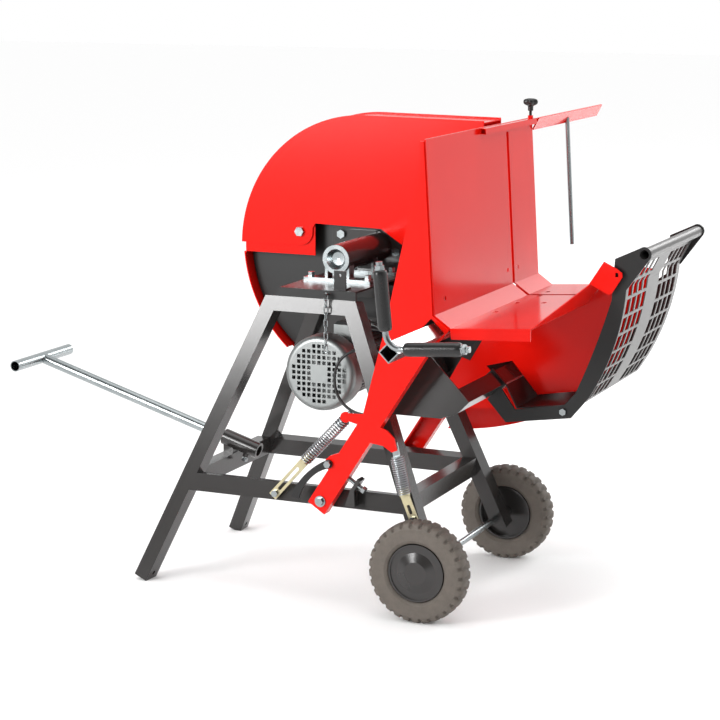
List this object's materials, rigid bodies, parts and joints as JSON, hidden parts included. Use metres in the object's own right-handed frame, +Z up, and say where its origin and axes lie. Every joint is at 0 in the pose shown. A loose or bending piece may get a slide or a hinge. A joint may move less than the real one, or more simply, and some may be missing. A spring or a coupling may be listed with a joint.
{
  "type": "tilting firewood saw",
  "caption": "Wheeled bench saw for firewood: a swinging trough with a handle feeds logs to a large guarded circular blade driven by a belt and an electric motor.",
  "frame": {"origin": "bottom centre of the whole machine's box, on the floor", "axes": "+X from the drawbar toward the grid guard, +Y from the handle side toward the blade side, +Z up"},
  "size_m": [1.8438, 1.6855, 1.298],
  "materials": {
    "red_paint": "semi-gloss powder coat",
    "anthracite_paint": "semi-gloss powder coat",
    "black_paint": "satin powder coat",
    "grey_paint": "satin powder coat",
    "zinc": "zinc plated",
    "yellow_zinc": "yellow passivated zinc",
    "spring_steel": "zinc plated wire",
    "bright_steel": "ground",
    "cast_iron": "turned grey iron",
    "motor_alloy": "painted die casting",
    "black_rubber": "matte",
    "foam_rubber": "fine foam",
    "tyre_rubber": "solid rubber",
    "black_plastic": "moulded"
  },
  "bodies": {
    "frame": {"guard_rim": "red_paint", "guard_side_sheet": "red_paint", "legs": "anthracite_paint", "top_bars": "anthracite_paint", "rails": "anthracite_paint", "guard_beam": "anthracite_paint", "frame_gussets": "anthracite_paint", "drawbar_socket": "anthracite_paint", "motor_plate": "anthracite_paint", "arbor_housing": "anthracite_paint", "stop_bracket": "anthracite_paint", "console": "black_paint", "chain_bracket": "black_paint", "guard_arms": "black_paint", "guard_walls": "black_paint", "guard_grid": "grey_paint", "guard_tube": "grey_paint", "saddles": "zinc", "hex_bolts": "zinc", "pivot_pins": "zinc", "axle": "zinc", "axle_washers": "zinc", "housing_cup": "zinc", "spring_straps": "yellow_zinc", "spring_left": "spring_steel", "spring_right": "spring_steel", "arbor_bearings": "bright_steel", "motor_body": "motor_alloy", "fan_cowl": "motor_alloy", "terminal_box": "motor_alloy", "v_belts": "black_rubber", "motor_cable": "black_rubber"},
    "cradle": {"trough": "red_paint", "cradle_side_near": "red_paint", "cradle_post_far": "red_paint", "ear_plate": "red_paint", "pocket_plates": "red_paint", "tilt_tubes": "zinc", "handle_rod": "zinc", "handle_grips": "foam_rubber", "cradle_fasteners": "zinc", "spring_plugs": "zinc", "stop_guide": "red_paint"},
    "hood": {"hood": "red_paint"},
    "arbor": {"arbor_shaft": "bright_steel", "arbor_pulley": "cast_iron", "blade_clamp": "bright_steel", "saw_blade": "bright_steel"},
    "rotor": {"motor_rotor": "bright_steel", "motor_pulley": "cast_iron"},
    "wheel_near": {"wheel_hub_near": "anthracite_paint", "tyre_near": "tyre_rubber"},
    "wheel_far": {"wheel_hub_far": "anthracite_paint", "tyre_far": "tyre_rubber"},
    "drawbar": {"drawbar": "zinc"},
    "stop": {"stop_bar": "red_paint", "stop_rod": "zinc"},
    "knob": {"stop_knob": "black_plastic"},
    "latch": {"latch": "black_paint"},
    "chain": {"chain": "zinc"}
  },
  "joints": [
    {"name": "cradle_tilt", "type": "hinge", "parent": "frame", "child": "cradle", "pos_m": [0.13707, -0.23225, 0.283], "axis": [0, -1, 0], "range_deg": [0, 22], "deforming": ["spring_left", "spring_right"]},
    {"name": "hood_lift", "type": "hinge", "parent": "frame", "child": "hood", "pos_m": [-0.15993, -0.23225, 0.922], "axis": [0, -1, 0], "range_deg": [0, 44]},
    {"name": "arbor_spin", "type": "hinge", "parent": "frame", "child": "arbor", "pos_m": [0.06907, -0.23225, 0.888], "axis": [0, 1, 0], "continuous": true},
    {"name": "rotor_spin", "type": "hinge", "parent": "frame", "child": "rotor", "pos_m": [0.06107, -0.23225, 0.59], "axis": [0, 1, 0], "continuous": true},
    {"name": "wheel_near_spin", "type": "hinge", "parent": "frame", "child": "wheel_near", "pos_m": [0.42907, -0.56025, 0.134], "axis": [0, 1, 0], "continuous": true},
    {"name": "wheel_far_spin", "type": "hinge", "parent": "frame", "child": "wheel_far", "pos_m": [0.42907, 0.09575, 0.134], "axis": [0, 1, 0], "continuous": true},
    {"name": "drawbar_slide", "type": "slide", "parent": "frame", "child": "drawbar", "axis": [0.9578, 0, -0.2873], "range_m": [0, 0.42]},
    {"name": "stop_slide", "type": "slide", "parent": "cradle", "child": "stop", "axis": [0, 1, 0], "range_m": [0, 0.28]},
    {"name": "knob_turn", "type": "hinge", "parent": "cradle", "child": "knob", "pos_m": [0.43613, 0.22275, 1.29], "axis": [0, 0, 1], "range_deg": [-180, 180]},
    {"name": "latch_swing", "type": "hinge", "parent": "cradle", "child": "latch", "pos_m": [0.16207, -0.54125, 0.387], "axis": [0, -1, 0], "range_deg": [-35, 0]},
    {"name": "chain_swing", "type": "hinge", "parent": "frame", "child": "chain", "pos_m": [0.10707, -0.4361, 0.815], "axis": [0, 1, 0], "range_deg": [-25, 25]}
  ],
  "couplings": [
    {"joint": "hood_lift", "follows": "cradle_tilt", "ratio": 2},
    {"joint": "rotor_spin", "follows": "arbor_spin", "ratio": 1.7317}
  ]
}
